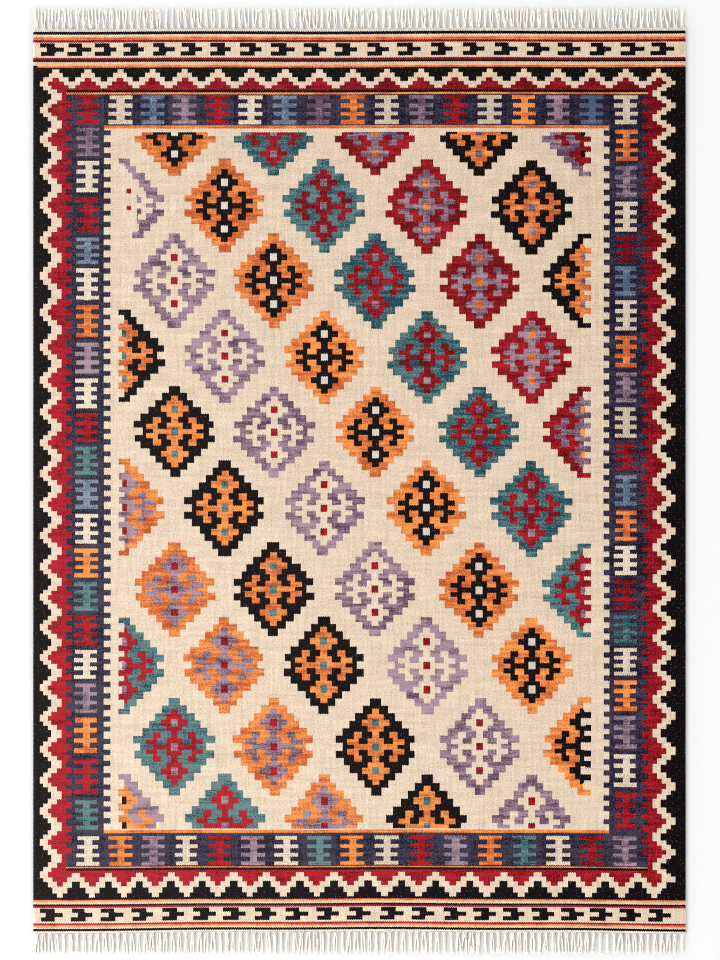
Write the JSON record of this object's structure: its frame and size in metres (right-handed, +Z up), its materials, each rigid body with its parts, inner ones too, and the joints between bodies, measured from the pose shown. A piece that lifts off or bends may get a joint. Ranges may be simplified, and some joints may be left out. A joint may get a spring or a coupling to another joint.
{
  "type": "kilim rug",
  "caption": "Rectangular flat-woven kilim rug with stepped medallions, a stepped border and a cotton fringe at each end, lying flat.",
  "frame": {"origin": "on the floor under the middle of the rug", "axes": "+X across the rug, +Y along the rug from foot end to head end, +Z up out of the face"},
  "size_m": [1.6, 2.32, 0.004],
  "materials": {
    "kilim_wool": "flat-woven matt wool in ivory, black, crimson, orange, teal, lilac, blue and navy",
    "fringe_cotton": "undyed matt cotton yarn"
  },
  "bodies": {
    "root": {"kilim_cloth": "kilim_wool", "fringe_head": "fringe_cotton", "fringe_foot": "fringe_cotton"}
  },
  "joints": []
}
